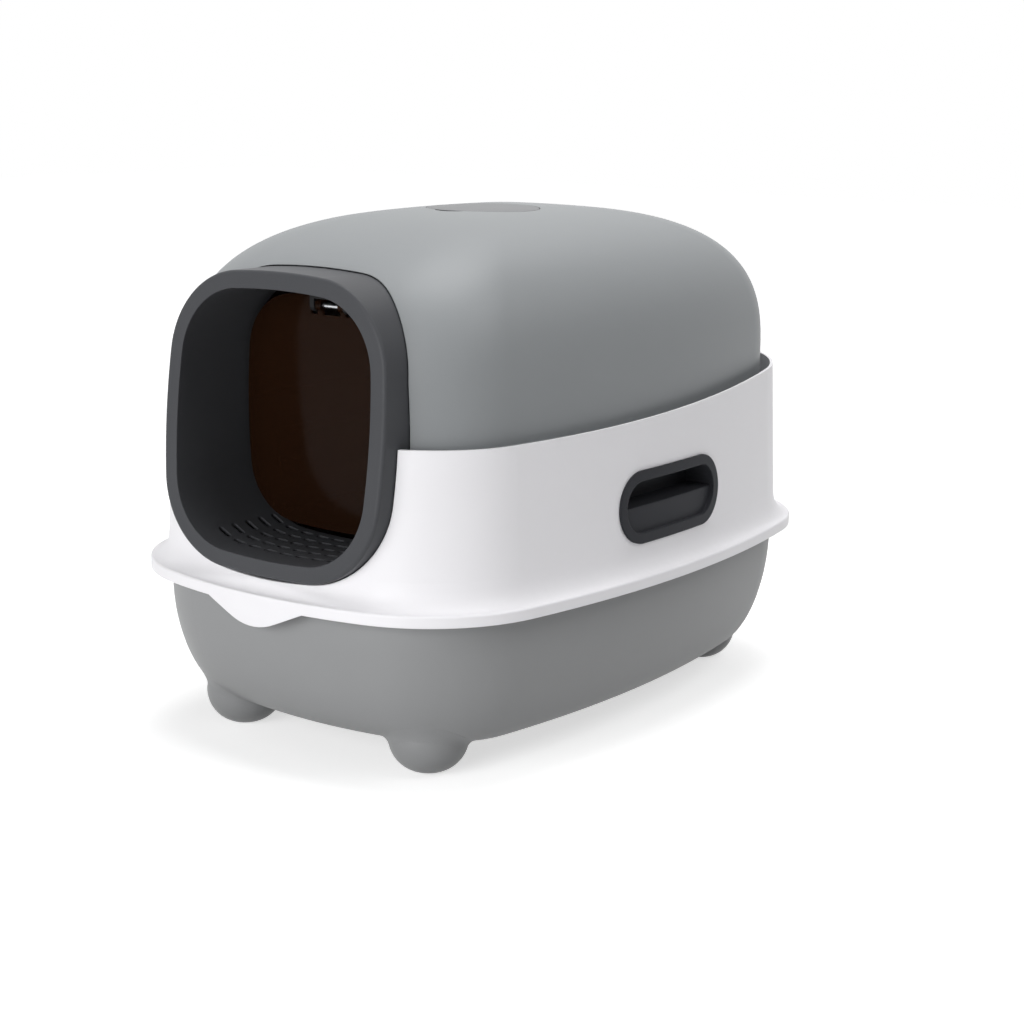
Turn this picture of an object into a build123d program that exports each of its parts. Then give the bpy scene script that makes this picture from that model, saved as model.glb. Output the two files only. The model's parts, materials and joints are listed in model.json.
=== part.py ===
"""Cat litter box with a hinged hood, a swinging entry flap and a filter in the roof.

Millimetres. The origin is on the floor, under the middle of the box. +Z is up, the entry faces -Y.
"""
import os
from math import cos, radians, sin, sqrt, tan

from build123d import *

# Overall outline, at the lip of the hood's flange
WIDTH = 390.0
LENGTH = 560.0
SIDE_RADIUS = 960.0
END_RADIUS = 400.0
CORNER_RADIUS = 113.0

# Heights, stacked from the floor
FOOT_HEIGHT = 24.3
TRAY_DEPTH = 109.5
SKIRT_RISE = 111.0
DOME_RISE = 155.2

# Tray
TRAY_WALL = 2.8
TRAY_TUCK = 16.2
TRAY_FLARE = 36.0
TRAY_END_FLARE = 17.0
RIM_BAND = 10.0
RIM_THICK = 2.6
LIP_GAP = 0.8
FOOT_RADIUS = 30.0
FOOT_FLAT = 10.0
FOOT_SIDE_INSET = 101.8
FOOT_END_INSET = 88.5
FOOT_BLEND = 32.0

# Hood skirt
SKIRT_WALL = 2.6
LIP_DROP = 6.0
LIP_EDGE = 1.6
REST_WIDTH = 6.0
FLARE_START = 3.0
FLARE_WIDTH = 11.6
FLARE_RISE = 20.0
WALL_LEAN = 3.9
LEDGE_INSET = 46.0
LEDGE_THICK = 2.6
CURB_FRONT = 6.0
CURB_MIDDLE = 8.4
CURB_REAR = 28.6
TAB_WIDTH = 92.0
TAB_DROP = 15.5

# Hood dome
DOME_WALL = 2.8
DOME_INSET = 30.5
DOME_SHOULDER = 28.2
DOME_POWER = 2.86
DOME_STEPS = (0, 0.3, 0.52, 0.7, 0.83, 0.92, 0.97, 0.99, 0.9995)
FLANGE_GAP = 1.2
FLANGE_THICK = 3.0

# Entry collar and its tunnel
ENTRY_WIDTH = 186.0
ENTRY_HEIGHT = 193.0
ENTRY_BOW = 520.0
ENTRY_CORNER = 54.0
ENTRY_DRAFT = 1.0
SILL_RISE = 25.5
RIM_WIDTH = 13.0
RIM_FACE = 3.2
RIM_LEAN = 5.1
RIM_PROUD = 3.0
RIM_EDGE = 2.6
COLLAR_WALL = 3.0
COLLAR_GAP = 0.8
COLLAR_TAIL = 20.0
TUNNEL_BEHIND_FLAP = 14.0
EAR_WIDTH = 16.0
EAR_LENGTH = 22.0
EAR_THICK = 4.0
SLOT_COLUMNS = 9
SLOT_ROWS = 5
SLOT_PITCH_X = 15.5
SLOT_PITCH_Y = 14.25
SLOT_LENGTH = 11.0
SLOT_WIDTH = 4.6
SLOT_SETBACK = 22.4

# Flap and its hinge
FLAP_SETBACK = 75.0
FLAP_THICK = 2.6
FLAP_GAP = 8.0
FLAP_PIN_DROP = 16.0
FLAP_PIN_DIAMETER = 4.0
BRACKET_WIDTH = 36.0
BRACKET_DEPTH = 10.0
BRACKET_EAR = 4.0
BRACKET_CLEARANCE = 2.0
ROOF_PAD = 1.5
PEG_DIAMETER = 5.0
BARREL_WALL = 2.4
FLAP_KNUCKLE = 5.0
SIDE_PLAY = 0.5
PIN_PLAY = 0.05

# Side grips
GRIP_LENGTH = 140.0
GRIP_HEIGHT = 56.0
GRIP_RISE = 52.0
GRIP_BEZEL = 8.0
GRIP_PROUD = 1.8
GRIP_WALL = 2.2
GRIP_DEEP = 26.0
GRIP_SHALLOW = 2.0
GRIP_GAP = 0.5

# Filter in the roof
FILTER_Y = -10.0
COVER_DIAMETER = 90.0
COVER_GAP = 0.6
COVER_DEPTH = 6.5
COVER_TOP = 3.4
COVER_WALL = 2.6
SEAT_WIDTH = 5.5
SEAT_THICK = 2.6
BASKET_RIM = 2.0
BASKET_WALL = 2.0
BASKET_DEPTH = 26.0
VENT_DIAMETER = 5.0
VENT_PITCH = 9.0
VENT_RINGS = 3
PAD_THICK = 13.0
PAD_CROWN = 3.0
PAD_GAP = 2.0
PAD_DRAW = 2.0
NOTCH_WIDTH = 25.0
NOTCH_DEPTH = 5.5

# Rear hood hinge
HINGE_SPREAD = 100.0
HINGE_INSET = 9.0
HINGE_DROP = 6.5
HINGE_RELIEF = 1.0
KNUCKLE_RADIUS = 4.2
KNUCKLE_LENGTH = 16.0
KNUCKLE_WEB = 5.2
LUG_LENGTH = 8.0
HINGE_PIN_DIAMETER = 4.0

# Screws
SCREW_DIAMETER = 4.0
SCREW_LENGTH = 14.0
SCREW_HEAD_DIAMETER = 8.0
SCREW_HEAD_HEIGHT = 3.0
SCREW_PLAY = 0.1
BOSS_RADIUS = 5.0
BOSS_HEIGHT = 16.0
BOSS_BITE = 1.5
SIDE_SCREW_Y = 110.0
REAR_SCREW_X = 80.0

# Places that follow from the sizes
REACH = WIDTH + LENGTH
RIM_TOP = FOOT_HEIGHT + TRAY_DEPTH
SIDE_TOP = RIM_TOP - RIM_BAND
RIM_INSET = SKIRT_WALL + LIP_GAP
LIP_BOTTOM = RIM_TOP - LIP_DROP
FLANGE_TOP = RIM_TOP + SKIRT_WALL
WALL_FOOT = FLANGE_TOP + FLARE_RISE
WALL_INSET = FLARE_START + FLARE_WIDTH
LEDGE_TOP = RIM_TOP + SKIRT_RISE
WALL_TOP = LEDGE_TOP + CURB_REAR + SKIRT_WALL
SHOULDER = LEDGE_TOP + DOME_SHOULDER
DOME_TOP = LEDGE_TOP + DOME_RISE
ENTRY_SILL = RIM_TOP + SILL_RISE
ENTRY_Z = ENTRY_SILL + ENTRY_HEIGHT / 2
ENTRY_FOOT = ENTRY_SILL - RIM_WIDTH
ENTRY_ROOF = ENTRY_SILL + ENTRY_HEIGHT
ENTRY_HEAD = ENTRY_ROOF + RIM_WIDTH
ENTRY_SIDE = ENTRY_WIDTH / 2 + RIM_WIDTH
FRONT_WALL_Y = WALL_INSET - LENGTH / 2
FLAP_Y = FRONT_WALL_Y + FLAP_SETBACK
FLAP_PIN_Z = ENTRY_ROOF - FLAP_PIN_DROP
PAD_FACE = ENTRY_ROOF - ROOF_PAD
BARREL_RADIUS = FLAP_PIN_DIAMETER / 2 + PIN_PLAY + BARREL_WALL
GRIP_Z = RIM_TOP + GRIP_RISE
SEAT_TOP = DOME_TOP - COVER_DEPTH - BASKET_RIM
WELL_RADIUS = COVER_DIAMETER / 2 + COVER_GAP
BASKET_RADIUS = WELL_RADIUS - SEAT_WIDTH - COVER_GAP
BASKET_FLOOR = SEAT_TOP - BASKET_DEPTH + BASKET_WALL
HINGE_Y = LENGTH / 2 - HINGE_INSET
HINGE_Z = LIP_BOTTOM - HINGE_DROP
HINGE_STATIONS = (-HINGE_SPREAD / 2, HINGE_SPREAD / 2)
DOME_INNER = DOME_INSET + DOME_WALL
EAR_INSET = DOME_INNER + COLLAR_GAP


def corner_centre(half_x, half_y, side_radius, end_radius, corner_radius):
    """Centre of the corner arc that touches a bowed side and a bowed end."""
    side = Vector(half_x - side_radius, 0)
    end = Vector(0, half_y - end_radius)
    span = (end - side).length
    along = (end - side).normalized()
    across = Vector(-along.Y, along.X)
    side_reach = side_radius - corner_radius
    end_reach = end_radius - corner_radius
    step = (side_reach**2 - end_reach**2 + span**2) / (2 * span)
    lift = sqrt(side_reach**2 - step**2)
    return max((side + along * step + across * k for k in (lift, -lift)), key=lambda c: c.X + c.Y)


def rounded(half_x, half_y, side_radius, end_radius, corner_radius):
    """Face on XY inside eight tangent arcs: bowed sides and ends, with round corners."""
    side = Vector(half_x - side_radius, 0)
    end = Vector(0, half_y - end_radius)
    corner = corner_centre(half_x, half_y, side_radius, end_radius, corner_radius)
    a = side + (corner - side).normalized() * side_radius
    b = end + (corner - end).normalized() * end_radius
    m = corner + (a + b - corner * 2).normalized() * corner_radius
    arcs = [
        ThreePointArc((a.X, -a.Y), (half_x, 0), (a.X, a.Y)),
        ThreePointArc((a.X, a.Y), (m.X, m.Y), (b.X, b.Y)),
        ThreePointArc((b.X, b.Y), (0, half_y), (-b.X, b.Y)),
        ThreePointArc((-b.X, b.Y), (-m.X, m.Y), (-a.X, a.Y)),
        ThreePointArc((-a.X, a.Y), (-half_x, 0), (-a.X, -a.Y)),
        ThreePointArc((-a.X, -a.Y), (-m.X, -m.Y), (-b.X, -b.Y)),
        ThreePointArc((-b.X, -b.Y), (0, -half_y), (b.X, -b.Y)),
        ThreePointArc((b.X, -b.Y), (m.X, -m.Y), (a.X, -a.Y)),
    ]
    return make_face(arcs)


def plan(inset, z, end_extra=0.0, size=1.0):
    """The box's outline at a height, drawn in by an inset and scaled about the middle."""
    face = rounded(
        (WIDTH / 2 - inset) * size,
        (LENGTH / 2 - inset - end_extra) * size,
        (SIDE_RADIUS - inset) * size,
        (END_RADIUS - inset) * size,
        (CORNER_RADIUS - inset) * size,
    )
    return Pos(0, 0, z) * face


def outline_x(inset, y):
    """Half width of the inset outline at a place along its side arcs."""
    radius = SIDE_RADIUS - inset
    return WIDTH / 2 - SIDE_RADIUS + sqrt(radius**2 - y**2)


def outline_y(inset, x):
    """Half length of the inset outline at a place along its end or corner arcs."""
    corner = corner_centre(WIDTH / 2, LENGTH / 2, SIDE_RADIUS, END_RADIUS, CORNER_RADIUS)
    reach = END_RADIUS - inset
    if x < corner.X * reach / (END_RADIUS - CORNER_RADIUS):
        return LENGTH / 2 - END_RADIUS + sqrt(reach**2 - x**2)
    return corner.Y + sqrt((CORNER_RADIUS - inset) ** 2 - (x - corner.X) ** 2)


def slab(inset, low, high):
    """Solid of the outline between two heights."""
    return extrude(plan(inset, low), high - low)


def ring(outer, inner, low, high):
    """Band of the outline between two insets and two heights."""
    return slab(outer, low, high) - slab(inner, low, high)


def box_between(low, high):
    """Box from its lowest to its highest corner."""
    size = [b - a for a, b in zip(low, high)]
    return Pos(*low) * Box(*size, align=(Align.MIN, Align.MIN, Align.MIN))


def rod(radius, x_from, x_to, y, z):
    """Cylinder along X."""
    return extrude(Plane.YZ.offset(x_from) * Pos(y, z) * Circle(radius), x_to - x_from)


def post(radius, x, y, low, high):
    """Cylinder along Z."""
    return extrude(Pos(x, y, low) * Circle(radius), high - low)


def both_sides(part):
    """The part and its mirror image across the middle plane."""
    return part + mirror(part, about=Plane.YZ)


def tray_side(wall):
    """Body of the tray below its rim band, or its hollow where the wall is above zero."""
    sections = []
    for turn in range(0, 91, 15):
        angle = radians(turn)
        inset = TRAY_TUCK + TRAY_FLARE - (TRAY_FLARE - wall) * cos(angle)
        z = SIDE_TOP - (SIDE_TOP - FOOT_HEIGHT - wall) * sin(angle)
        sections.append(plan(inset, z, TRAY_END_FLARE * (1 - cos(angle))))
    return loft(sections)


def foot(wall):
    """One ball foot about the Z axis, or its hollow where the wall is above zero."""
    radius = FOOT_RADIUS - wall
    top = FOOT_HEIGHT + FOOT_BLEND
    bulge = radians(45)
    middle = (FOOT_FLAT + (radius - FOOT_FLAT) * sin(bulge), wall + radius * (1 - cos(bulge)))
    outline = [
        Line((0, wall), (FOOT_FLAT, wall)),
        ThreePointArc((FOOT_FLAT, wall), middle, (radius, FOOT_RADIUS)),
        Line((radius, FOOT_RADIUS), (radius, top)),
        Line((radius, top), (0, top)),
        Line((0, top), (0, wall)),
    ]
    return revolve(Plane.XZ * make_face(outline), Axis.Z)


def four_feet(wall):
    """The feet, or their hollows, under the tray's corners."""
    x = WIDTH / 2 - FOOT_SIDE_INSET
    y = LENGTH / 2 - FOOT_END_INSET
    return [Pos(sx * x, sy * y, 0) * foot(wall) for sx in (-1, 1) for sy in (-1, 1)]


def tray_rim():
    """Flat rim that carries the hood, cut straight at the rear to clear its swing."""
    behind = box_between((-WIDTH, HINGE_Y - HINGE_RELIEF, 0), (WIDTH, LENGTH, DOME_TOP))
    return slab(RIM_INSET, RIM_TOP - RIM_THICK, RIM_TOP) - behind


def hinge_lug(x_from, x_to):
    """Tray-side hinge lug: a round eye on an arm from the tray's end wall."""
    wall_y = outline_y(TRAY_TUCK + TRAY_WALL, max(abs(x_from), abs(x_to)))
    arm = box_between(
        (x_from, wall_y, HINGE_Z - KNUCKLE_RADIUS),
        (x_to, HINGE_Y, HINGE_Z + KNUCKLE_RADIUS),
    )
    return arm + rod(KNUCKLE_RADIUS, x_from, x_to, HINGE_Y, HINGE_Z)


def make_base_tray():
    """Grey pan with four hollow feet, a rim and the lugs of the hood hinge."""
    tray = tray_side(0) + slab(TRAY_TUCK, SIDE_TOP, RIM_TOP) + tray_rim()
    near = KNUCKLE_LENGTH / 2 + SIDE_PLAY
    for middle in HINGE_STATIONS:
        tray += hinge_lug(middle + near, middle + near + LUG_LENGTH)
        tray += hinge_lug(middle - near - LUG_LENGTH, middle - near)
    tray += four_feet(0)
    tray -= tray_side(TRAY_WALL) + slab(TRAY_TUCK + TRAY_WALL, SIDE_TOP, RIM_TOP + 1)
    tray -= four_feet(TRAY_WALL)
    return tray - rod(HINGE_PIN_DIAMETER / 2 + PIN_PLAY, -WIDTH / 2, WIDTH / 2, HINGE_Y, HINGE_Z)


def flare_body(wall):
    """Solid under the concave flare, or its hollow where the wall is above zero."""
    sections = []
    for turn in (0, 22.5, 45, 67.5, 90):
        angle = radians(turn)
        run = FLARE_WIDTH * cos(angle)
        rise = FLARE_RISE * sin(angle)
        slope = sqrt(run**2 + rise**2)
        inset = FLARE_START + FLARE_WIDTH * sin(angle) + wall * rise / slope
        z = FLANGE_TOP + FLARE_RISE * (1 - cos(angle)) - wall * run / slope
        sections.append(plan(inset, z))
    return loft(sections)


def wall_inset(z):
    """Inset of the skirt's outer wall at a height."""
    return WALL_INSET + WALL_LEAN * (z - WALL_FOOT) / (LEDGE_TOP - WALL_FOOT)


def wall_body(inward, low, high):
    """Solid inside the skirt's leaning wall, drawn in by a distance."""
    return loft([plan(wall_inset(low) + inward, low), plan(wall_inset(high) + inward, high)], ruled=True)


def curb_cut():
    """What is above the skirt's curb, which rises in one long curve to the rear."""
    end = LENGTH / 2
    ceiling = DOME_TOP
    front = (-end, LEDGE_TOP + CURB_FRONT)
    rear = (end, LEDGE_TOP + CURB_REAR)
    edges = [
        ThreePointArc(front, (0, LEDGE_TOP + CURB_MIDDLE), rear),
        Line(rear, (end, ceiling)),
        Line((end, ceiling), (-end, ceiling)),
        Line((-end, ceiling), front),
    ]
    return extrude(Plane.YZ * make_face(edges), WIDTH, both=True)


def skirt_shell():
    """The skirt's moulded wall: lip, resting flange, concave flare and leaning band."""
    lip = slab(0, LIP_BOTTOM, FLANGE_TOP)
    lip = fillet(lip.edges().group_by(Axis.Z)[-1], LIP_EDGE)
    shell = lip + flare_body(0) + wall_body(0, WALL_FOOT, WALL_TOP)
    shell -= slab(SKIRT_WALL, LIP_BOTTOM - 1, RIM_TOP)
    shell -= flare_body(SKIRT_WALL) & slab(RIM_INSET + REST_WIDTH, RIM_TOP - 1, WALL_FOOT)
    shell -= slab(WALL_INSET + SKIRT_WALL, RIM_TOP - 1, WALL_FOOT)
    shell -= wall_body(SKIRT_WALL, WALL_FOOT, WALL_TOP)
    return shell - curb_cut()


def pull_tab():
    """Tongue under the middle of the flange's front lip, a bell with a round tip."""
    half = TAB_WIDTH / 2
    top = LIP_BOTTOM + SKIRT_WALL
    side = half * 0.46
    side_z = LIP_BOTTOM - TAB_DROP * 0.7
    edges = [
        ThreePointArc((-side, side_z), (0, LIP_BOTTOM - TAB_DROP), (side, side_z)),
        Line((side, side_z), (half, LIP_BOTTOM)),
        Line((half, LIP_BOTTOM), (half, top)),
        Line((half, top), (-half, top)),
        Line((-half, top), (-half, LIP_BOTTOM)),
        Line((-half, LIP_BOTTOM), (-side, side_z)),
    ]
    return ring(0, SKIRT_WALL, LIP_BOTTOM - TAB_DROP, top) & extrude(Plane.XZ * make_face(edges), LENGTH)


def skirt_knuckle(middle):
    """Hood-side hinge knuckle with the web that hangs it from the flange's lip."""
    half = KNUCKLE_LENGTH / 2
    barrel = rod(KNUCKLE_RADIUS, middle - half, middle + half, HINGE_Y, HINGE_Z)
    strip = box_between((middle - half, HINGE_Y, HINGE_Z), (middle + half, LENGTH / 2, LIP_BOTTOM + 1))
    return barrel + (ring(0, KNUCKLE_WEB, HINGE_Z, LIP_BOTTOM + 1) & strip)


def dome_screw_places():
    """Where the dome is screwed to the skirt's ledge."""
    inset = DOME_INNER + BOSS_RADIUS - BOSS_BITE
    side_x = outline_x(inset, SIDE_SCREW_Y)
    rear_y = outline_y(inset, REAR_SCREW_X)
    sides = [(sx * side_x, sy * SIDE_SCREW_Y) for sx in (-1, 1) for sy in (-1, 1)]
    return sides + [(-REAR_SCREW_X, rear_y), (REAR_SCREW_X, rear_y)]


def ear_screw_places():
    """Where the collar's ears are screwed to the skirt's ledge."""
    x = ENTRY_SIDE + EAR_WIDTH / 2
    y = -outline_y(EAR_INSET + COLLAR_GAP + BOSS_RADIUS, x)
    return [(-x, y), (x, y)]


def grip_prism(inward, x_from, x_to):
    """The grip's outline, drawn in by a distance and run along X."""
    outline = SlotOverall(GRIP_LENGTH - 2 * inward, GRIP_HEIGHT - 2 * inward)
    return extrude(Plane.YZ.offset(x_from) * Pos(0, GRIP_Z) * outline, x_to - x_from)


def make_hood_skirt():
    """White band of the hood."""
    skirt = skirt_shell() + pull_tab()
    skirt += ring(wall_inset(LEDGE_TOP) + SKIRT_WALL / 2, LEDGE_INSET, LEDGE_TOP - LEDGE_THICK, LEDGE_TOP)
    for middle in HINGE_STATIONS:
        skirt += skirt_knuckle(middle)
    skirt -= entry_prism(RIM_WIDTH + COLLAR_GAP)
    skirt -= grip_prism(GRIP_BEZEL - GRIP_WALL - GRIP_GAP, -WIDTH, WIDTH)
    for x, y in dome_screw_places() + ear_screw_places():
        skirt -= post(SCREW_DIAMETER / 2 + SCREW_PLAY, x, y, LEDGE_TOP - 2 * LEDGE_THICK, LEDGE_TOP + 1)
    return skirt - rod(HINGE_PIN_DIAMETER / 2 + PIN_PLAY, -WIDTH / 2, WIDTH / 2, HINGE_Y, HINGE_Z)


def dome_size(rise):
    """Share of the base outline left at a share of the rise above the shoulder."""
    return (1 - rise**DOME_POWER) ** (1 / DOME_POWER)


def dome_body(wall):
    """Solid dome, or its hollow where the wall is above zero."""
    inset = DOME_INSET + wall
    sections = [plan(inset, LEDGE_TOP), plan(inset, (LEDGE_TOP + SHOULDER) / 2)]
    for rise in DOME_STEPS:
        z = SHOULDER + (DOME_TOP - wall - SHOULDER) * rise
        sections.append(plan(inset, z, size=dome_size(rise)))
    return loft(sections)


def finger_notch(grow, low):
    """Scoop ahead of the filter cover, or the wall around it."""
    half = NOTCH_WIDTH / 2
    radius = (half**2 + NOTCH_DEPTH**2) / (2 * NOTCH_DEPTH)
    y = FILTER_Y - WELL_RADIUS - NOTCH_DEPTH + radius
    return post(radius + grow, 0, y, low, DOME_TOP + 1)


def make_hood_dome():
    """Grey top of the hood, with the filter's well in its roof."""
    solid = dome_body(0)
    flange_inset = wall_inset(LEDGE_TOP + FLANGE_THICK) + SKIRT_WALL + FLANGE_GAP
    dome = solid + slab(flange_inset, LEDGE_TOP, LEDGE_TOP + FLANGE_THICK) - dome_body(DOME_WALL)
    well_foot = SEAT_TOP - SEAT_THICK
    well = post(WELL_RADIUS + DOME_WALL, 0, FILTER_Y, well_foot, DOME_TOP)
    well += finger_notch(DOME_WALL, well_foot)
    dome += well & solid
    dome -= post(WELL_RADIUS, 0, FILTER_Y, SEAT_TOP, DOME_TOP + 1)
    dome -= post(WELL_RADIUS - SEAT_WIDTH, 0, FILTER_Y, well_foot - 1, DOME_TOP + 1)
    dome -= finger_notch(0, SEAT_TOP)
    for x, y in dome_screw_places():
        dome += post(BOSS_RADIUS, x, y, LEDGE_TOP, LEDGE_TOP + BOSS_HEIGHT) & solid
        dome -= post(SCREW_DIAMETER / 2 + SCREW_PLAY, x, y, LEDGE_TOP - 1, LEDGE_TOP + SCREW_LENGTH)
    return dome - entry_prism(RIM_WIDTH + COLLAR_GAP)


def entry_face(grow, y=0.0):
    """The entry's outline grown outwards, upright at a place along the box."""
    face = rounded(
        ENTRY_WIDTH / 2 + grow,
        ENTRY_HEIGHT / 2 + grow,
        ENTRY_BOW + grow,
        ENTRY_BOW + grow,
        ENTRY_CORNER + grow,
    )
    return Plane.XZ.offset(-y) * Pos(0, ENTRY_Z) * face


def entry_prism(grow):
    """The entry's outline run through the front of the hood, with a moulding draft."""
    return loft([entry_face(grow), entry_face(grow + ENTRY_DRAFT, -LENGTH)], ruled=True)


def front_block(depth):
    """Everything ahead of a leaning plane, a depth behind the collar's front."""
    middle_y = FRONT_WALL_Y - RIM_PROUD + (ENTRY_Z - ENTRY_FOOT) * tan(radians(RIM_LEAN))
    block = Box(REACH, REACH, REACH, align=(Align.CENTER, Align.MAX, Align.CENTER))
    return Pos(0, middle_y + depth, ENTRY_Z) * Rot(-RIM_LEAN, 0, 0) * block


def tail_block():
    """Everything behind the collar's outer wall, which runs past its ears and follows the dome's slope."""
    foot_y = FRONT_WALL_Y + COLLAR_TAIL
    ear_y = ear_screw_places()[0][1] + EAR_LENGTH / 2
    rise = (ENTRY_HEAD - SHOULDER) / (DOME_TOP - SHOULDER)
    head_y = (DOME_INSET - LENGTH / 2) * dome_size(rise) + COLLAR_TAIL
    profile = Polyline(
        (foot_y, 0),
        (foot_y, ENTRY_FOOT),
        (ear_y, LEDGE_TOP),
        (head_y, ENTRY_HEAD),
        (head_y, DOME_TOP),
        (REACH, DOME_TOP),
        (REACH, 0),
        close=True,
    )
    return extrude(Plane.YZ * make_face(profile), WIDTH, both=True)


def collar_ear():
    """Right-hand ear and screw boss that stand on the skirt's ledge inside the dome."""
    x, y = ear_screw_places()[1]
    ear = box_between(
        (ENTRY_SIDE - COLLAR_WALL / 2, y - EAR_LENGTH / 2, LEDGE_TOP),
        (x + EAR_WIDTH / 2, y + EAR_LENGTH / 2, LEDGE_TOP + EAR_THICK),
    )
    ear += post(BOSS_RADIUS, x, y, LEDGE_TOP, LEDGE_TOP + BOSS_HEIGHT)
    ear &= slab(EAR_INSET, LEDGE_TOP, LEDGE_TOP + BOSS_HEIGHT)
    return ear - post(SCREW_DIAMETER / 2 + SCREW_PLAY, x, y, LEDGE_TOP - 1, LEDGE_TOP + SCREW_LENGTH)


def floor_slots():
    """Grid of litter slots through the tunnel's floor."""
    first_y = FRONT_WALL_Y + SLOT_SETBACK
    middle_y = first_y + SLOT_PITCH_Y * (SLOT_ROWS - 1) / 2
    low = (ENTRY_FOOT + ENTRY_SILL) / 2 - COLLAR_WALL / 2
    places = GridLocations(SLOT_PITCH_X, SLOT_PITCH_Y, SLOT_COLUMNS, SLOT_ROWS)
    grid = Sketch() + [place * SlotOverall(SLOT_LENGTH, SLOT_WIDTH) for place in places]
    return extrude(Pos(0, middle_y, low) * grid, 2 * RIM_WIDTH)


def bracket_pegs(grow):
    """Pegs of the flap bracket in the tunnel's roof, or their holes."""
    places = (-BRACKET_WIDTH / 4, BRACKET_WIDTH / 4)
    radius = PEG_DIAMETER / 2 + grow
    return [post(radius, x, FLAP_Y, PAD_FACE, ENTRY_ROOF + COLLAR_WALL) for x in places]


def make_entry_collar():
    """Dark entry ring: leaning rim, outer wall through the shells, tunnel and slotted floor."""
    rim = entry_prism(RIM_WIDTH) & front_block(RIM_FACE)
    outer = entry_prism(RIM_WIDTH) - entry_prism(RIM_WIDTH - COLLAR_WALL) - tail_block()
    behind = box_between((-WIDTH, FLAP_Y + TUNNEL_BEHIND_FLAP, 0), (WIDTH, LENGTH, DOME_TOP))
    tunnel = entry_prism(COLLAR_WALL) - behind
    collar = rim + outer + tunnel - front_block(0) - entry_prism(0)
    front = collar.faces().filter_by(lambda f: f.normal_at().Y < -0.9).sort_by(Axis.Y)[0]
    collar = fillet(front.outer_wire().edges(), RIM_EDGE)
    collar += both_sides(collar_ear())
    half = BRACKET_WIDTH / 2
    collar += box_between(
        (-half, FLAP_Y - BRACKET_DEPTH / 2, PAD_FACE),
        (half, FLAP_Y + BRACKET_DEPTH / 2, ENTRY_ROOF + COLLAR_WALL / 2),
    )
    collar -= bracket_pegs(PIN_PLAY)
    return collar - floor_slots()


def make_flap_bracket():
    """Black block under the tunnel's roof, with two ears for the flap's pin."""
    half = BRACKET_WIDTH / 2
    depth = BRACKET_DEPTH / 2
    bracket = box_between((-half, FLAP_Y - depth, FLAP_PIN_Z), (half, FLAP_Y + depth, PAD_FACE))
    bracket += rod(depth, -half, half, FLAP_Y, FLAP_PIN_Z)
    inner = half - BRACKET_EAR
    bracket -= box_between(
        (-inner, FLAP_Y - depth, FLAP_PIN_Z - depth),
        (inner, FLAP_Y + depth, FLAP_PIN_Z + BARREL_RADIUS + SIDE_PLAY),
    )
    bracket += bracket_pegs(0)
    return bracket - rod(FLAP_PIN_DIAMETER / 2 + PIN_PLAY, -half, half, FLAP_Y, FLAP_PIN_Z)


def make_flap_pin():
    """Steel pin the flap swings on."""
    half = BRACKET_WIDTH / 2
    return rod(FLAP_PIN_DIAMETER / 2, -half, half, FLAP_Y, FLAP_PIN_Z)


def make_flap_panel():
    """See-through flap with two knuckles on its top edge, and the pin bare between them."""
    panel = extrude(entry_face(-FLAP_GAP, FLAP_Y + FLAP_THICK / 2), FLAP_THICK)
    clear = BRACKET_WIDTH / 2 + BRACKET_CLEARANCE
    notch_z = FLAP_PIN_Z - BRACKET_DEPTH / 2 - BRACKET_CLEARANCE
    panel -= box_between((-clear, FLAP_Y - FLAP_THICK, notch_z), (clear, FLAP_Y + FLAP_THICK, ENTRY_ROOF))
    half = BRACKET_WIDTH / 2 - BRACKET_EAR - SIDE_PLAY
    panel += box_between(
        (-half, FLAP_Y - FLAP_THICK / 2, notch_z - 1),
        (half, FLAP_Y + FLAP_THICK / 2, FLAP_PIN_Z),
    )
    panel += rod(BARREL_RADIUS, -half, half, FLAP_Y, FLAP_PIN_Z)
    bare = half - FLAP_KNUCKLE
    panel -= box_between((-bare, FLAP_Y - BARREL_RADIUS, notch_z), (bare, FLAP_Y + BARREL_RADIUS, ENTRY_ROOF))
    return panel - rod(FLAP_PIN_DIAMETER / 2 + PIN_PLAY, -half, half, FLAP_Y, FLAP_PIN_Z)


def make_handle_right():
    """Dark carrying grip: a bezel on the skirt's wall, a deep finger pocket and a shallow panel below it."""
    deep_x = WIDTH / 2 - wall_inset(GRIP_Z) - GRIP_DEEP
    low = GRIP_Z - GRIP_HEIGHT
    high = GRIP_Z + GRIP_HEIGHT
    upper = box_between((0, -LENGTH, GRIP_Z), (WIDTH, LENGTH, high))
    upper_wall = box_between((0, -LENGTH, GRIP_Z - GRIP_WALL), (WIDTH, LENGTH, high))
    outside = wall_body(-GRIP_PROUD, low, high)
    cup_inset = GRIP_BEZEL - GRIP_WALL
    grip = grip_prism(cup_inset, 0, WIDTH / 2) - wall_body(GRIP_SHALLOW + GRIP_WALL, low, high)
    grip += grip_prism(cup_inset, deep_x - GRIP_WALL, WIDTH / 2) & upper_wall
    grip &= outside
    grip += grip_prism(0, 0, WIDTH / 2) & (outside - wall_body(0, low, high))
    grip -= grip_prism(GRIP_BEZEL, 0, WIDTH) - wall_body(GRIP_SHALLOW, low, high)
    return grip - (grip_prism(GRIP_BEZEL, deep_x, WIDTH) & upper)


def make_handle_left():
    """The right grip, mirrored."""
    return mirror(make_handle_right(), about=Plane.YZ)


def make_filter_cover():
    """Round lid over the filter, flush with the dome."""
    low = SEAT_TOP + BASKET_RIM
    cover = post(COVER_DIAMETER / 2, 0, FILTER_Y, low, DOME_TOP + 1) & dome_body(0)
    return cover - post(COVER_DIAMETER / 2 - COVER_WALL, 0, FILTER_Y, low, DOME_TOP - COVER_TOP)


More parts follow.
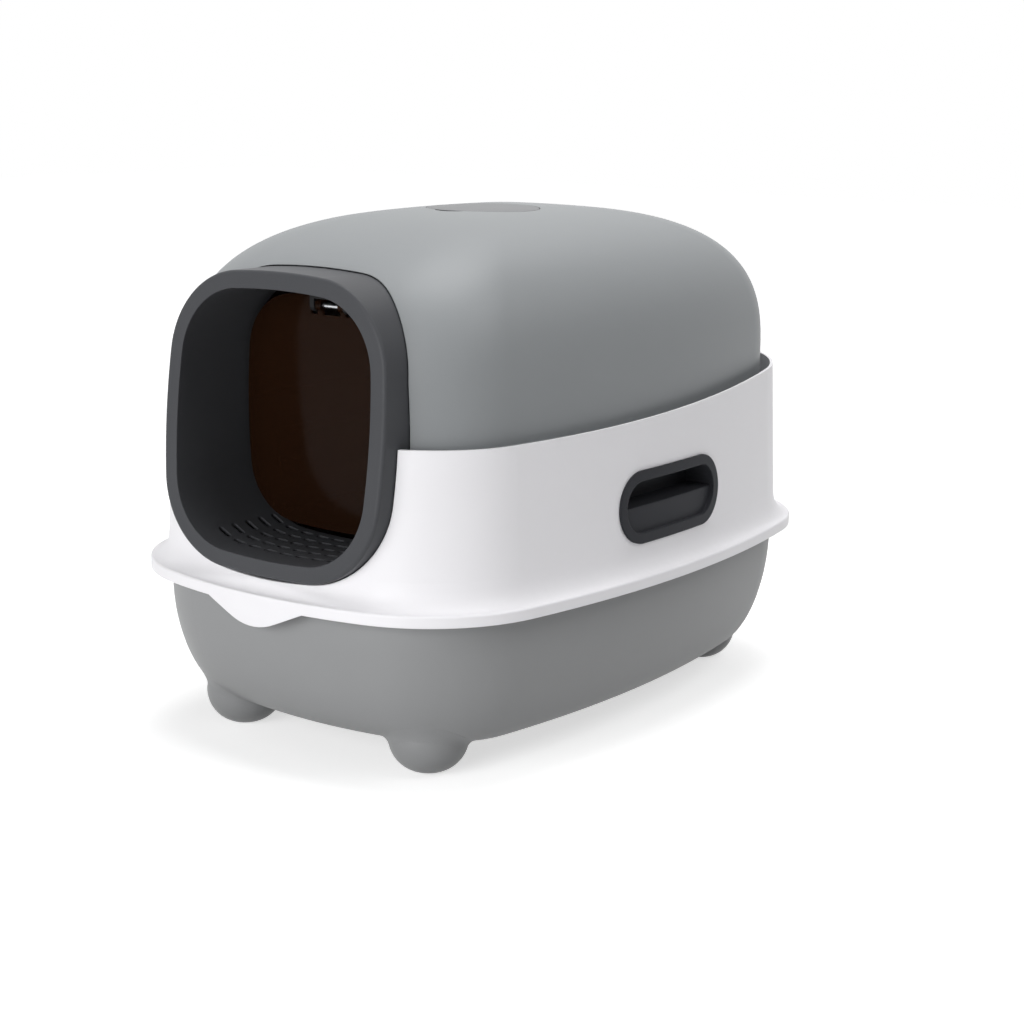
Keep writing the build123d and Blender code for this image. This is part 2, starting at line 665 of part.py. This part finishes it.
def make_filter_basket():
    """Cup with a rim and a vented floor, hung in the dome's well."""
    foot_z = BASKET_FLOOR - BASKET_WALL
    rim_z = SEAT_TOP + BASKET_RIM
    basket = post(COVER_DIAMETER / 2, 0, FILTER_Y, SEAT_TOP, rim_z)
    basket += post(BASKET_RADIUS, 0, FILTER_Y, foot_z, rim_z)
    basket -= post(BASKET_RADIUS - BASKET_WALL, 0, FILTER_Y, BASKET_FLOOR, rim_z)
    vents = Sketch() + Circle(VENT_DIAMETER / 2)
    for k in range(1, VENT_RINGS + 1):
        vents += [place * Circle(VENT_DIAMETER / 2) for place in PolarLocations(k * VENT_PITCH, 6 * k)]
    return basket - extrude(Pos(0, FILTER_Y, foot_z) * vents, BASKET_WALL)


def make_carbon_pad():
    """Soft charcoal pad with a crowned top and rounded sides, on the basket's floor."""
    radius = BASKET_RADIUS - BASKET_WALL - PAD_GAP
    edge = radius - PAD_DRAW
    low = BASKET_FLOOR
    high = low + PAD_THICK
    crown_radius = (edge**2 + PAD_CROWN**2) / (2 * PAD_CROWN)
    half_way = high + PAD_CROWN - crown_radius + sqrt(crown_radius**2 - edge**2 / 4)
    outline = [
        Line((0, low), (edge, low)),
        ThreePointArc((edge, low), (radius, (low + high) / 2), (edge, high)),
        ThreePointArc((edge, high), (edge / 2, half_way), (0, high + PAD_CROWN)),
        Line((0, high + PAD_CROWN), (0, low)),
    ]
    return Pos(0, FILTER_Y, 0) * revolve(Plane.XZ * make_face(outline), Axis.Z)


def hinge_pin(middle):
    """Pin through one hood hinge."""
    half = KNUCKLE_LENGTH / 2 + SIDE_PLAY + LUG_LENGTH
    return rod(HINGE_PIN_DIAMETER / 2, middle - half, middle + half, HINGE_Y, HINGE_Z)


def make_hood_screws():
    """Screws from below the skirt's ledge into the dome's and the collar's bosses."""
    low = LEDGE_TOP - LEDGE_THICK
    screws = Part()
    for x, y in dome_screw_places() + ear_screw_places():
        screws += post(SCREW_HEAD_DIAMETER / 2, x, y, low - SCREW_HEAD_HEIGHT, low)
        screws += post(SCREW_DIAMETER / 2, x, y, low - 1, low + SCREW_LENGTH)
    return screws


NODES = {
    "base_tray": make_base_tray(),
    "hood_skirt": make_hood_skirt(),
    "hood_dome": make_hood_dome(),
    "entry_collar": make_entry_collar(),
    "flap_bracket": make_flap_bracket(),
    "flap_pin": make_flap_pin(),
    "flap_panel": make_flap_panel(),
    "handle_left": make_handle_left(),
    "handle_right": make_handle_right(),
    "filter_cover": make_filter_cover(),
    "filter_basket": make_filter_basket(),
    "carbon_pad": make_carbon_pad(),
    "hinge_pin_left": hinge_pin(HINGE_STATIONS[0]),
    "hinge_pin_right": hinge_pin(HINGE_STATIONS[1]),
    "hood_screws": make_hood_screws(),
}

os.makedirs("parts", exist_ok=True)
for name, part in NODES.items():
    export_step(part, f"parts/{name}.step")
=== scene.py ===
import json
import math

import bmesh
import bpy
from mathutils import Matrix, Vector
from mathutils.bvhtree import BVHTree


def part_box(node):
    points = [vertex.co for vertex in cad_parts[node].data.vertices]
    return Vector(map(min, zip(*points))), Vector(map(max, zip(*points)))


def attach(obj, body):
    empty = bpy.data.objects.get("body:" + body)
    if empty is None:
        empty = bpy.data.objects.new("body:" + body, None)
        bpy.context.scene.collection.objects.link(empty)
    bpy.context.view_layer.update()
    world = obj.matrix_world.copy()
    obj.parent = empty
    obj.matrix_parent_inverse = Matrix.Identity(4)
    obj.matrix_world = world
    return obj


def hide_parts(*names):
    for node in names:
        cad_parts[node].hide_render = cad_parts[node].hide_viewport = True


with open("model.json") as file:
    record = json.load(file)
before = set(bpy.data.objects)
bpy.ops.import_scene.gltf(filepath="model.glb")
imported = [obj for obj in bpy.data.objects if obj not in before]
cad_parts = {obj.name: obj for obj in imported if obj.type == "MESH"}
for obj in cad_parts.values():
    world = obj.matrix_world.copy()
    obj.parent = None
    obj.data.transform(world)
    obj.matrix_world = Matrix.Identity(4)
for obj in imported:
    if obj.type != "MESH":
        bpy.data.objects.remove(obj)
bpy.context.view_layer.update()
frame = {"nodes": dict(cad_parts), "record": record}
MM = 0.001


def placed(name, data):
    """New object in the scene."""
    shape = bpy.data.objects.new(name, data)
    bpy.context.collection.objects.link(shape)
    return shape


# Camera, found from the box's known sizes

AZIMUTH = math.radians(36.46)
ELEVATION = math.radians(12.58)
ROLL = math.radians(0.79)
DISTANCE = 1.66444
AIM_RIGHT = 0.02049
AIM_HEIGHT = 0.14931
LENS_MM = 70.68
SENSOR_MM = 36


def photo_camera():
    """Camera where the photograph was taken from."""
    back = Vector((
        math.sin(AZIMUTH) * math.cos(ELEVATION),
        -math.cos(AZIMUTH) * math.cos(ELEVATION),
        math.sin(ELEVATION),
    ))
    right = Vector((math.cos(AZIMUTH), math.sin(AZIMUTH), 0))
    up = back.cross(right)
    across = right * math.cos(ROLL) + up * math.sin(ROLL)
    upright = up * math.cos(ROLL) - right * math.sin(ROLL)
    data = bpy.data.cameras.new("photo_camera")
    data.sensor_width = SENSOR_MM
    data.lens = LENS_MM
    camera = placed("photo_camera", data)
    place = right * AIM_RIGHT + Vector((0, 0, AIM_HEIGHT)) + back * DISTANCE
    turn = Matrix((across, upright, back)).transposed().to_4x4()
    camera.matrix_world = Matrix.Translation(place) @ turn
    bpy.context.scene.camera = camera


# Nodes

def linear(hex_colour):
    """Linear RGBA of an sRGB hex colour."""
    channels = [int(hex_colour[k:k + 2], 16) / 255 for k in (1, 3, 5)]
    return tuple(c / 12.92 if c <= 0.04045 else ((c + 0.055) / 1.055) ** 2.4 for c in channels) + (1,)


def add(tree, kind, inputs=None, **settings):
    """Add a node with its settings. An input that is a socket, or a list of them, is linked; any other is
    set."""
    node = tree.nodes.new(kind)
    for name, value in settings.items():
        setattr(node, name, value)
    for name, value in (inputs or {}).items():
        for wire in value if isinstance(value, list) else [value]:
            if isinstance(wire, bpy.types.NodeSocket):
                tree.links.new(wire, node.inputs[name])
            else:
                node.inputs[name].default_value = wire
    return node


def calc(tree, operation, *values):
    """Result of a sum on one or two values or sockets."""
    return add(tree, "ShaderNodeMath", dict(enumerate(values)), operation=operation).outputs[0]


def vector(tree, **parts):
    """Vector joined from its X, Y and Z."""
    return add(tree, "ShaderNodeCombineXYZ", parts).outputs[0]


def remap(tree, value, from_range, to_range, **settings):
    """Value carried over from one range to another, and held within it."""
    node = add(tree, "ShaderNodeMapRange", {
        "Value": value,
        "From Min": from_range[0],
        "From Max": from_range[1],
        "To Min": to_range[0],
        "To Max": to_range[1],
    }, **settings)
    return node.outputs["Result"]


def own_place(tree):
    """Point of the surface in its object's own frame."""
    return add(tree, "ShaderNodeTexCoord").outputs["Object"]


def per_metre(size_mm):
    """Texture scale at which one cell of a pattern has a real size."""
    return 1000 / size_mm


def noise(tree, size_mm, **inputs):
    """Level of a noise pattern with cells of a real size."""
    texture = add(tree, "ShaderNodeTexNoise", {
        "Vector": own_place(tree),
        "Scale": per_metre(size_mm),
        **inputs,
    })
    return texture.outputs["Fac"]


def tone_ramp(tree, level, levels, shades):
    """Colour that runs from one shade to another between two levels."""
    ramp = add(tree, "ShaderNodeValToRGB", {"Fac": level})
    for stop, position, shade in zip(ramp.color_ramp.elements, levels, shades):
        stop.position = position
        stop.color = linear(shade)
    return ramp.outputs["Color"]


# Materials

UNIT_RANGE = (0.0, 1.0)
FLOW_MM = 140
FLOW_RANGE = (0.3, 0.7)
GLOSS_DRIFT = 0.03
GRAIN_MM = 1.2
GRAIN_STRENGTH = 0.5
PLASTIC_IOR = 1.49
WIPE_MM = 45
WIPE_RANGE = (0.35, 0.75)
WIPE_ROUGHNESS = (0.08, 0.16)
FLAP_IOR = 1.12
PLATING_SHADE = "#C9CCCF"
BLOTCH_MM = 3
BLOTCH_ROUGHNESS = (0.18, 0.38)
FIBRE_MM = 0.9
FIBRE_DEPTH = 0.3 * MM
FIBRE_RANGE = (0.35, 0.7)
FELT_SHADES = ("#151516", "#3A3A3C")
PIT_MM = 2.5
PIT_DEPTH = 0.4 * MM


def new_material(name):
    """Empty node material and its tree."""
    material = bpy.data.materials.new(name)
    material.use_nodes = True
    material.node_tree.nodes.clear()
    return material, material.node_tree


def coat(tree, inputs):
    """Make a principled surface the output of a material."""
    surface = add(tree, "ShaderNodeBsdfPrincipled", inputs)
    add(tree, "ShaderNodeOutputMaterial", {"Surface": surface.outputs["BSDF"]})


def moulded_plastic(name, shade, sheen_shade, roughness, shine, grain_depth_mm, edge_mm=0.8):
    """Injection-moulded plastic: an even tone that drifts a little along the melt's flow, a fine spark-eroded
    grain that breaks the highlights into a soft satin sheen, and edges that the mould leaves slightly round.
    The grain is drawn coarser than the real one, so that it shows."""
    material, tree = new_material(name)
    flow = noise(tree, FLOW_MM, Detail=3.0)
    grain = noise(tree, GRAIN_MM, Detail=4.0, Roughness=0.6)
    rounded = add(tree, "ShaderNodeBevel", {"Radius": edge_mm * MM}, samples=4)
    relief = add(tree, "ShaderNodeBump", {
        "Strength": GRAIN_STRENGTH,
        "Distance": grain_depth_mm * MM,
        "Height": grain,
        "Normal": rounded.outputs["Normal"],
    })
    coat(tree, {
        "Base Color": tone_ramp(tree, flow, FLOW_RANGE, (shade, sheen_shade)),
        "Roughness": remap(tree, flow, FLOW_RANGE, (roughness - GLOSS_DRIFT, roughness + GLOSS_DRIFT)),
        "IOR": PLASTIC_IOR,
        "Specular IOR Level": shine,
        "Normal": relief.outputs["Normal"],
    })
    return material


def tinted_acrylic(name, shade):
    """Clear sheet tinted dark brown: see-through against the light, with faint wipe marks in its gloss. Its
    refractive index is set below a real sheet's, because the white surroundings would wash its brown out."""
    material, tree = new_material(name)
    wipes = noise(tree, WIPE_MM, Detail=5.0, Distortion=1.5)
    coat(tree, {
        "Base Color": linear(shade),
        "Roughness": remap(tree, wipes, WIPE_RANGE, WIPE_ROUGHNESS),
        "IOR": FLAP_IOR,
        "Specular IOR Level": 0.2,
        "Transmission Weight": 0.7,
    })
    return material


def zinc_plated_steel(name):
    """Drawn wire and pressed heads under a thin bright plating: cool grey, slightly blotched reflections."""
    material, tree = new_material(name)
    blotch = noise(tree, BLOTCH_MM, Detail=4.0)
    coat(tree, {
        "Base Color": linear(PLATING_SHADE),
        "Metallic": 1.0,
        "Roughness": remap(tree, blotch, UNIT_RANGE, BLOTCH_ROUGHNESS),
    })
    return material


def charcoal_felt(name):
    """Needled felt filled with charcoal: near black, no shine, a tangle of short fibres and small pits."""
    material, tree = new_material(name)
    fibres = noise(tree, FIBRE_MM, Detail=6.0, Roughness=0.7, Distortion=2.0)
    pits = add(tree, "ShaderNodeTexVoronoi", {"Vector": own_place(tree), "Scale": per_metre(PIT_MM)})
    pitted = add(tree, "ShaderNodeBump", {
        "Strength": 0.6,
        "Distance": PIT_DEPTH,
        "Height": pits.outputs["Distance"],
    })
    tangled = add(tree, "ShaderNodeBump", {
        "Strength": 0.8,
        "Distance": FIBRE_DEPTH,
        "Height": fibres,
        "Normal": pitted.outputs["Normal"],
    })
    coat(tree, {
        "Base Color": tone_ramp(tree, fibres, FIBRE_RANGE, FELT_SHADES),
        "Roughness": 0.95,
        "Sheen Weight": 0.25,
        "Normal": tangled.outputs["Normal"],
    })
    return material


# Name, shade and the shade it drifts to, roughness, shine, depth of the grain and radius of the edges in mm
DOME_GREY = moulded_plastic("satin_polypropylene_cool_grey", "#888B8D", "#8C8F91", 0.46, 0.3, 0.02)
TRAY_GREY = moulded_plastic("satin_polypropylene_mid_grey", "#8C8D8E", "#909192", 0.46, 0.25, 0.02)
WHITE_BAND = moulded_plastic("satin_polypropylene_white", "#ECEBEE", "#EFEEF1", 0.40, 0.35, 0.01)
DARK_COLLAR = moulded_plastic("satin_abs_charcoal", "#454649", "#494A4D", 0.42, 0.12, 0.015, 1.2)
DARK_GRIP = moulded_plastic("satin_abs_dark_grey", "#323337", "#36373B", 0.45, 0.06, 0.015, 1.5)
COVER_GREY = moulded_plastic("satin_polypropylene_slate", "#6E6F71", "#727375", 0.44, 0.3, 0.02, 0.5)
BLACK_FITTING = moulded_plastic("moulded_abs_black", "#1C1C1D", "#202021", 0.40, 0.15, 0.015, 0.4)
BROWN_FLAP = tinted_acrylic("tinted_acrylic_brown", "#3A2417")
STEEL = zinc_plated_steel("zinc_plated_steel")
FELT = charcoal_felt("charcoal_felt")

FINISHES = {
    "base_tray": TRAY_GREY,
    "hood_skirt": WHITE_BAND,
    "hood_dome": DOME_GREY,
    "entry_collar": DARK_COLLAR,
    "flap_bracket": BLACK_FITTING,
    "flap_pin": STEEL,
    "flap_panel": BROWN_FLAP,
    "handle_left": DARK_GRIP,
    "handle_right": DARK_GRIP,
    "filter_cover": COVER_GREY,
    "filter_basket": BLACK_FITTING,
    "carbon_pad": FELT,
    "hinge_pin_left": STEEL,
    "hinge_pin_right": STEEL,
    "hood_screws": STEEL,
}


def dress(mesh, material):
    """Give a mesh one finish."""
    mesh.materials.clear()
    mesh.materials.append(material)


def dress_nodes():
    """Give every node of the frame its finish."""
    for name, material in FINISHES.items():
        dress(frame["nodes"][name].data, material)


# Pieces

def new_piece(name, mesh, material, body):
    """Object of a finished mesh that rides on a body."""
    dress(mesh, material)
    piece = placed(name, mesh)
    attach(piece, body)
    return piece


def evaluated_mesh(shape):
    """Plain mesh of an object with its modifiers applied."""
    graph = bpy.context.evaluated_depsgraph_get()
    return bpy.data.meshes.new_from_object(shape.evaluated_get(graph))


def plain_mesh(name, shape):
    """Mesh of an edited shape, which is used up."""
    mesh = bpy.data.meshes.new(name)
    shape.to_mesh(mesh)
    shape.free()
    return mesh


def smooth(mesh):
    """Shade every face of a mesh smooth."""
    for face in mesh.polygons:
        face.use_smooth = True


# Foot necks

NECK_REACH = 6 * MM
NECK_SINK = 0.9 * MM
NECK_CREASE = math.radians(50)
NECK_STEPS = 96
CURVE_STEPS = 8
FOOT_REACH = 30 * MM
FEEL_STEP = 0.7 * NECK_REACH
FEEL_FROM = 2.5 * FOOT_REACH


def neck_section(tray, foot, out):
    """Closed outline of the fillet between a foot and the tray above it, in a plane through the foot's axis.
    The two surfaces are felt for with rays, and a curve runs from one to the other along their slopes."""

    def underside(reach):
        return tray.ray_cast(foot + out * reach - Vector((0, 0, NECK_REACH)), Vector((0, 0, 1)))[0].z

    def side(height):
        start = foot + out * FEEL_FROM + Vector((0, 0, height))
        return (tray.ray_cast(start, -out)[0] - foot).dot(out)

    far = FOOT_REACH + NECK_REACH
    near_z, far_z, past_z = (underside(far + k * FEEL_STEP) for k in (-1, 0, 1))
    slope = (past_z - near_z) / (2 * FEEL_STEP)
    bend = (past_z - 2 * far_z + near_z) / FEEL_STEP**2
    crease_z = far_z - slope * NECK_REACH + bend * NECK_REACH**2 / 2
    low_z = crease_z - NECK_REACH
    low = side(low_z)
    lean = (low - side(low_z - FEEL_STEP / 2)) / (FEEL_STEP / 2)
    corner_z = (far_z + slope * (low - lean * low_z - far)) / (1 - slope * lean)
    corner = low + lean * (corner_z - low_z)
    points = []
    for k in range(CURVE_STEPS + 1):
        t = k / CURVE_STEPS
        share = ((1 - t)**2, 2 * t * (1 - t), t**2)
        reach = share[0] * low + share[1] * corner + share[2] * far
        height = share[0] * low_z + share[1] * corner_z + share[2] * far_z
        points.append((reach, height))
    points.append((far, far_z + NECK_SINK))
    points.append((corner - NECK_SINK, crease_z + NECK_SINK))
    points.append((low - NECK_SINK, low_z))
    return [foot + out * reach + Vector((0, 0, height)) for reach, height in points]


def add_neck(shape, tray, foot):
    """Add the closed ring of one foot's fillet to a shape."""
    rings = []
    for k in range(NECK_STEPS):
        angle = math.tau * k / NECK_STEPS
        out = Vector((math.cos(angle), math.sin(angle), 0))
        rings.append([shape.verts.new(p) for p in neck_section(tray, foot, out)])
    for ring, following in zip(rings, rings[1:] + rings[:1]):
        for k in range(len(ring)):
            shape.faces.new((ring[k - 1], ring[k], following[k], following[k - 1]))


def foot_necks():
    """Soft fillets where the four round feet grow out of the tray's underside."""
    tray_mesh = frame["nodes"]["base_tray"].data
    tray = BVHTree.FromPolygons([v.co for v in tray_mesh.vertices], [p.vertices for p in tray_mesh.polygons])
    place = Vector(frame["record"]["mounts"][0]["pos_m"])
    shape = bmesh.new()
    for side_x in (-1, 1):
        for side_y in (-1, 1):
            add_neck(shape, tray, Vector((side_x * abs(place.x), side_y * abs(place.y), 0)))
    bmesh.ops.recalc_face_normals(shape, faces=shape.faces)
    mesh = plain_mesh("foot_necks", shape)
    smooth(mesh)
    mesh.set_sharp_from_angle(angle=NECK_CREASE)
    new_piece("foot_necks", mesh, TRAY_GREY, "tray")


# Screws

SCREW_SIZES = {
    "Head Radius": 4 * MM,
    "Head Height": 3 * MM,
    "Shank Radius": 2 * MM,
    "Shank Length": 14 * MM,
    "Recess Span": 4.4 * MM,
    "Recess Width": 1.1 * MM,
    "Recess Depth": 1.6 * MM,
}
HEAD_SIDES = 32
HEAD_RINGS = 6
HEAD_DOME = 0.85
SHANK_SIDES = 24
SCREW_CREASE = math.radians(35)
SAME_POINT = 0.001 * MM


def screw_seats():
    """Where each screw's head meets the ledge, read from the separate solids of the screws' node."""
    shape = bmesh.new()
    shape.from_mesh(frame["nodes"]["hood_screws"].data)
    bmesh.ops.remove_doubles(shape, verts=shape.verts, dist=SAME_POINT)
    seats = []
    left = set(shape.verts)
    while left:
        edge_of_island = {left.pop()}
        island = set(edge_of_island)
        while edge_of_island:
            reached = {link.other_vert(v) for v in edge_of_island for link in v.link_edges}
            edge_of_island = reached - island
            island |= reached
        left -= island
        xs, ys, zs = zip(*(v.co for v in island))
        seats.append((
            (min(xs) + max(xs)) / 2,
            (min(ys) + max(ys)) / 2,
            min(zs) + SCREW_SIZES["Head Height"],
        ))
    shape.free()
    return sorted(seats)


def domed_head(tree, given):
    """Round head below the seat that draws in towards its underside along an arc."""
    drum = add(tree, "GeometryNodeMeshCylinder", {
        "Vertices": HEAD_SIDES,
        "Side Segments": HEAD_RINGS,
        "Radius": given["Head Radius"],
        "Depth": given["Head Height"],
    })
    place = add(tree, "GeometryNodeInputPosition").outputs["Position"]
    height = add(tree, "ShaderNodeSeparateXYZ", {"Vector": place}).outputs["Z"]
    share = calc(tree, "DIVIDE", height, given["Head Height"])
    fall = calc(tree, "MULTIPLY", calc(tree, "SUBTRACT", 0.5, share), HEAD_DOME)
    draw = calc(tree, "SQRT", calc(tree, "SUBTRACT", 1.0, calc(tree, "POWER", fall, 2.0)))
    drawn = vector(tree, X=draw, Y=draw, Z=1.0)
    domed = add(tree, "ShaderNodeVectorMath", {0: place, 1: drawn}, operation="MULTIPLY")
    head = add(tree, "GeometryNodeSetPosition", {
        "Geometry": drum.outputs["Mesh"],
        "Position": domed.outputs[0],
        "Offset": vector(tree, Z=calc(tree, "MULTIPLY", given["Head Height"], -0.5)),
    })
    return head.outputs[0]


def cross_cutter(tree, given):
    """The two wings of the cross that is cut into a head from below."""
    depth = calc(tree, "MULTIPLY", given["Recess Depth"], 2.0)
    under = vector(tree, Z=calc(tree, "MULTIPLY", given["Head Height"], -1.0))
    wings = []
    for along, across in (("X", "Y"), ("Y", "X")):
        size = vector(tree, **{along: given["Recess Span"], across: given["Recess Width"], "Z": depth})
        wing = add(tree, "GeometryNodeMeshCube", {"Size": size})
        moved = add(tree, "GeometryNodeTransform", {"Geometry": wing.outputs["Mesh"], "Translation": under})
        wings.append(moved.outputs[0])
    return wings


def plain_shank(tree, given):
    """Round shank that stands up from the seat."""
    shank = add(tree, "GeometryNodeMeshCylinder", {
        "Vertices": SHANK_SIDES,
        "Radius": given["Shank Radius"],
        "Depth": given["Shank Length"],
    })
    lift = vector(tree, Z=calc(tree, "MULTIPLY", given["Shank Length"], 0.5))
    lifted = add(tree, "GeometryNodeTransform", {"Geometry": shank.outputs["Mesh"], "Translation": lift})
    return lifted.outputs[0]


def screw_tree():
    """Geometry nodes that put a pan-head screw with a cross recess, head down, at every point."""
    tree = bpy.data.node_groups.new("pan_head_screws", "GeometryNodeTree")
    tree.is_modifier = True
    tree.interface.new_socket("Seats", in_out="INPUT", socket_type="NodeSocketGeometry")
    for name in SCREW_SIZES:
        tree.interface.new_socket(name, in_out="INPUT", socket_type="NodeSocketFloat")
    tree.interface.new_socket("Finish", in_out="INPUT", socket_type="NodeSocketMaterial")
    tree.interface.new_socket("Screws", in_out="OUTPUT", socket_type="NodeSocketGeometry")
    given = add(tree, "NodeGroupInput").outputs
    head = add(tree, "GeometryNodeMeshBoolean", {
        "Mesh 1": domed_head(tree, given),
        "Mesh 2": cross_cutter(tree, given),
        "Self Intersection": True,
    }, solver="EXACT")
    screw = add(tree, "GeometryNodeJoinGeometry", {"Geometry": [head.outputs[0], plain_shank(tree, given)]})
    copies = add(tree, "GeometryNodeInstanceOnPoints", {
        "Points": given["Seats"],
        "Instance": screw.outputs[0],
    })
    real = add(tree, "GeometryNodeRealizeInstances", {"Geometry": copies.outputs[0]})
    finished = add(tree, "GeometryNodeSetMaterial", {
        "Geometry": real.outputs[0],
        "Material": given["Finish"],
    })
    add(tree, "NodeGroupOutput", {"Screws": finished.outputs[0]})
    return tree


def hood_screws():
    """The screws under the skirt's ledge, with real heads."""
    tree = screw_tree()
    points = bpy.data.meshes.new("screw_seats")
    points.from_pydata(screw_seats(), [], [])
    maker = placed("screw_seats", points)
    modifier = maker.modifiers.new("screws", "NODES")
    modifier.node_group = tree
    for item in tree.interface.items_tree:
        if item.name in SCREW_SIZES:
            modifier[item.identifier] = SCREW_SIZES[item.name]
        if item.name == "Finish":
            modifier[item.identifier] = STEEL
    mesh = evaluated_mesh(maker)
    bpy.data.objects.remove(maker)
    mesh.name = "pan_head_screws"
    smooth(mesh)
    mesh.set_sharp_from_angle(angle=SCREW_CREASE)
    screws = new_piece("pan_head_screws", mesh, STEEL, "hood")
    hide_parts("hood_screws")


# Carbon pad

PAD_SEGMENTS = 64
PAD_VOXEL = 2.2 * MM
PAD_START = 0.94
PAD_SPREAD = 0.42
PAD_CROWN = 0.8
PAD_PRESSURE = 4
PAD_FRAMES = 20
PAD_SWELL = 1.2 * MM
TINY = 1e-6


def flat_cushion(middle, radius, half):
    """Round cushion: a sphere pressed flat, with its sides pushed outwards."""
    shape = bmesh.new()
    bmesh.ops.create_uvsphere(shape, u_segments=PAD_SEGMENTS, v_segments=PAD_SEGMENTS // 2, radius=1)
    for vert in shape.verts:
        reach = math.hypot(vert.co.x, vert.co.y)
        wide = reach**PAD_SPREAD / max(reach, TINY) * radius * PAD_START
        tall = math.copysign(abs(vert.co.z)**PAD_CROWN, vert.co.z) * half * PAD_START
        vert.co = middle + Vector((vert.co.x * wide, vert.co.y * wide, tall))
    return plain_mesh("felt_pad", shape)


def blown_up(shape):
    """Let a closed mesh swell like a stuffed pad, no point further than the felt can stretch."""
    start = [v.co.copy() for v in shape.data.vertices]
    cloth = shape.modifiers.new("swell", "CLOTH").settings
    cloth.use_pressure = True
    cloth.uniform_pressure_force = PAD_PRESSURE
    cloth.effector_weights.gravity = 0
    scene = bpy.context.scene
    for step in range(1, PAD_FRAMES + 1):
        scene.frame_set(step)
    mesh = evaluated_mesh(shape)
    scene.frame_set(1)
    for vert, first in zip(mesh.vertices, start):
        moved = vert.co - first
        if moved.length > PAD_SWELL:
            vert.co = first + moved.normalized() * PAD_SWELL
    return mesh


def carbon_pad():
    """Round pad of charcoal felt in the filter basket: crowned above, drawn in at its rim, flat below."""
    low, high = (Vector(corner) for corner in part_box("carbon_pad"))
    cushion = flat_cushion((low + high) / 2, (high.x - low.x) / 2, (high.z - low.z) / 2)
    maker = placed("felt_pad_maker", cushion)
    voxels = maker.modifiers.new("voxels", "REMESH")
    voxels.mode = "VOXEL"
    voxels.voxel_size = PAD_VOXEL
    maker.data = evaluated_mesh(maker)
    maker.modifiers.clear()
    mesh = blown_up(maker)
    bpy.data.objects.remove(maker)
    for vert in mesh.vertices:
        vert.co.z = min(max(vert.co.z, low.z), high.z)
    smooth(mesh)
    mesh.name = "carbon_felt_pad"
    pad = new_piece("carbon_felt_pad", mesh, FELT, "basket")
    smoother = pad.modifiers.new("smooth", "SUBSURF")
    smoother.levels = 1
    smoother.render_levels = 1
    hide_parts("carbon_pad")


# Studio

WHITE = (1, 1, 1, 1)
AMBIENT = 0.05
PAPER_SHADE = "#DEDEDE"
FLOOR_HALF = 6
FLOOR_GLOW = (0.62, 0.97)
GLOW_REACH = (0.5, 2.5)
LAMP_AIM = Vector((0, 0, 0.2))
# Name, place in metres, side in metres, watts
LAMPS = (
    ("front_lamp", (0.4, -2.2, 0.5), 1.2, 16),
    ("front_left_lamp", (-0.25, -2.2, 0.7), 1.2, 18),
    ("top_lamp", (0.0, 0.1, 2.4), 1.5, 37),
    ("rear_top_lamp", (-0.3, 1.2, 2.2), 1.4, 7),
    ("right_top_lamp", (1.7, 0.4, 1.9), 1.4, 16),
)


def seen_directly(tree):
    """1 on rays from the camera, and on those that mirror or pass through something, else 0."""
    path = add(tree, "ShaderNodeLightPath").outputs
    mirrored = calc(tree, "MAXIMUM", path["Is Camera Ray"], path["Is Glossy Ray"])
    return calc(tree, "MAXIMUM", mirrored, path["Is Transmission Ray"])


def white_world():
    """White all round to the eye, with a weaker even light on the object."""
    world = bpy.data.worlds.new("studio_white")
    bpy.context.scene.world = world
    world.use_nodes = True
    tree = world.node_tree
    tree.nodes.clear()
    level = remap(tree, seen_directly(tree), UNIT_RANGE, (AMBIENT, 1.0))
    light = add(tree, "ShaderNodeBackground", {"Color": WHITE, "Strength": level})
    add(tree, "ShaderNodeOutputWorld", {"Surface": light.outputs["Background"]})


def glowing_paper():
    """White paper that glows to the eye, the more the further from the box, so that its edge isn't seen."""
    material, tree = new_material("matt_white_paper")
    paper = add(tree, "ShaderNodeBsdfDiffuse", {"Color": linear(PAPER_SHADE)})
    away = add(tree, "ShaderNodeVectorMath", {0: own_place(tree)}, operation="LENGTH").outputs["Value"]
    level = remap(tree, away, GLOW_REACH, FLOOR_GLOW, interpolation_type="SMOOTHSTEP")
    glow = add(tree, "ShaderNodeEmission", {"Strength": level})
    both = add(tree, "ShaderNodeAddShader", {0: paper.outputs[0], 1: glow.outputs[0]})
    shown = add(tree, "ShaderNodeMixShader", {
        "Fac": seen_directly(tree),
        1: paper.outputs[0],
        2: both.outputs[0],
    })
    add(tree, "ShaderNodeOutputMaterial", {"Surface": shown.outputs[0]})
    return material


def paper_floor():
    """Paper under the box, bright enough to run into the background, that keeps a soft shadow."""
    mesh = bpy.data.meshes.new("studio_floor")
    corners = [(x * FLOOR_HALF, y * FLOOR_HALF, 0) for x, y in ((-1, -1), (1, -1), (1, 1), (-1, 1))]
    mesh.from_pydata(corners, [], [(0, 1, 2, 3)])
    mesh.materials.append(glowing_paper())
    floor = placed("studio_floor", mesh)


def soft_lamps():
    """Large square lamps, all aimed at the middle of the box."""
    for name, place, size, watts in LAMPS:
        data = bpy.data.lights.new(name, "AREA")
        data.shape = "SQUARE"
        data.size = size
        data.energy = watts
        turn = (LAMP_AIM - Vector(place)).to_track_quat("-Z", "Y").to_matrix().to_4x4()
        placed(name, data).matrix_world = Matrix.Translation(place) @ turn


photo_camera()
dress_nodes()
foot_necks()
hood_screws()
carbon_pad()
bpy.context.scene.view_settings.view_transform = "Standard"
white_world()
paper_floor()
soft_lamps()
